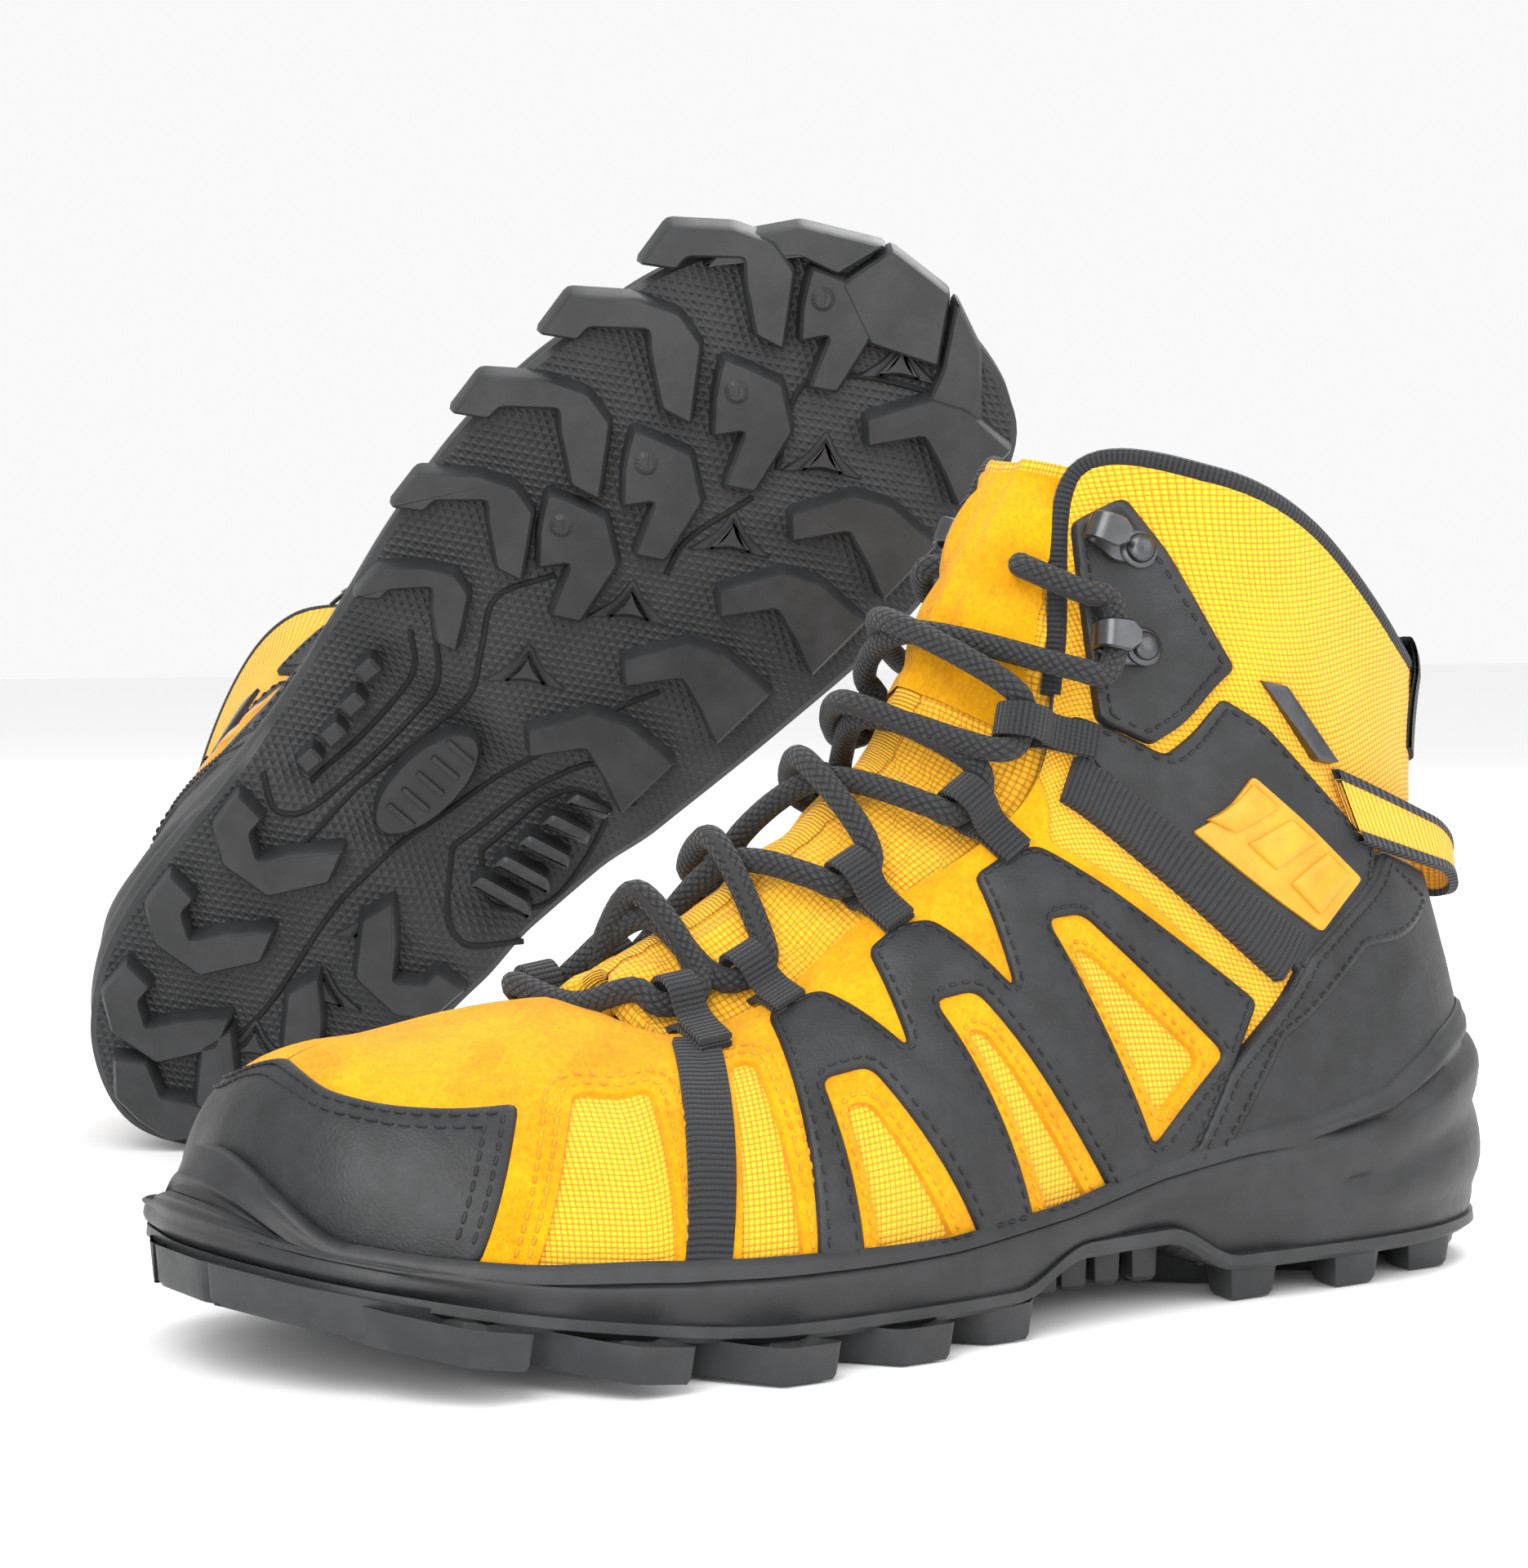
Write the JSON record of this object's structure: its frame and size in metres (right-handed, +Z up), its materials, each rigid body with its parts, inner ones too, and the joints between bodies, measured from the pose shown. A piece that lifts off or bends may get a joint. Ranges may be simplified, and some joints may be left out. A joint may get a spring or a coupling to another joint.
{
  "type": "pair of mountaineering boots",
  "caption": "Mid-height mountaineering boots with yellow suede and textile uppers, black cages, lacing through webbing loops and metal hooks, and lugged rubber soles.",
  "frame": {"origin": "on the ground, in the middle of the tread of the heel lug of the standing left boot", "axes": "-X along the left boot from its heel to its toe, -Y to the outer side of the left boot, +Z up; the right boot lies towards +Y"},
  "size_m": [0.292, 0.4323, 0.2353],
  "materials": {
    "tread_rubber": "matte",
    "rand_rubber": "fine grained",
    "spring_steel": "rolled",
    "insole_felt": "felted",
    "suede": "napped",
    "black_synthetic": "coated, satin",
    "yellow_textile": "coarse weave",
    "black_webbing": "ribbed",
    "yellow_webbing": "ribbed",
    "lace_cord": "braided",
    "gunmetal": "satin"
  },
  "bodies": {
    "left_boot": {"left_outsole": "tread_rubber", "left_midsole": "rand_rubber", "left_shank": "spring_steel", "left_footbed": "insole_felt", "left_upper": "suede", "left_toe_cap": "black_synthetic", "left_lateral_cage": "black_synthetic", "left_medial_cage": "black_synthetic", "left_heel_counter": "black_synthetic", "left_collar_pad": "yellow_textile", "left_collar_piping": "black_webbing", "left_heel_loop": "yellow_webbing", "left_pull_tab": "black_webbing", "left_tongue": "yellow_textile", "left_lace": "lace_cord", "left_lateral_strap_loop_1": "black_webbing", "left_lateral_lace_loop_2": "black_webbing", "left_lateral_lace_loop_3": "black_webbing", "left_lateral_lace_loop_4": "black_webbing", "left_lateral_strap_loop_5": "black_webbing", "left_lateral_lace_hook_1": "gunmetal", "left_lateral_lace_hook_2": "gunmetal", "left_medial_strap_loop_1": "black_webbing", "left_medial_lace_loop_2": "black_webbing", "left_medial_lace_loop_3": "black_webbing", "left_medial_lace_loop_4": "black_webbing", "left_medial_strap_loop_5": "black_webbing", "left_medial_lace_hook_1": "gunmetal", "left_medial_lace_hook_2": "gunmetal"},
    "left_tongue": {"left_tongue_top": "yellow_textile"},
    "right_boot": {"right_outsole": "tread_rubber", "right_midsole": "rand_rubber", "right_shank": "spring_steel", "right_footbed": "insole_felt", "right_upper": "suede", "right_toe_cap": "black_synthetic", "right_lateral_cage": "black_synthetic", "right_medial_cage": "black_synthetic", "right_heel_counter": "black_synthetic", "right_collar_pad": "yellow_textile", "right_collar_piping": "black_webbing", "right_heel_loop": "yellow_webbing", "right_pull_tab": "black_webbing", "right_tongue": "yellow_textile", "right_lace": "lace_cord", "right_lateral_strap_loop_1": "black_webbing", "right_lateral_lace_loop_2": "black_webbing", "right_lateral_lace_loop_3": "black_webbing", "right_lateral_lace_loop_4": "black_webbing", "right_lateral_strap_loop_5": "black_webbing", "right_lateral_lace_hook_1": "gunmetal", "right_lateral_lace_hook_2": "gunmetal", "right_medial_strap_loop_1": "black_webbing", "right_medial_lace_loop_2": "black_webbing", "right_medial_lace_loop_3": "black_webbing", "right_medial_lace_loop_4": "black_webbing", "right_medial_strap_loop_5": "black_webbing", "right_medial_lace_hook_1": "gunmetal", "right_medial_lace_hook_2": "gunmetal"},
    "right_tongue": {"right_tongue_top": "yellow_textile"}
  },
  "joints": [
    {"name": "left_tongue_fold", "type": "hinge", "parent": "left_boot", "child": "left_tongue", "pos_m": [-0.116, 0, 0.142], "axis": [0, -1, 0], "range_deg": [0, 25]},
    {"name": "right_boot_lift", "type": "slide", "parent": "left_boot", "child": "right_boot", "axis": [0, 0, 1], "range_m": [0, 0.35]},
    {"name": "right_tongue_fold", "type": "hinge", "parent": "right_boot", "child": "right_tongue", "pos_m": [-0.06652, 0.32334, 0.13329], "axis": [0.7434, -0.1785, -0.6445], "range_deg": [0, 25]}
  ]
}
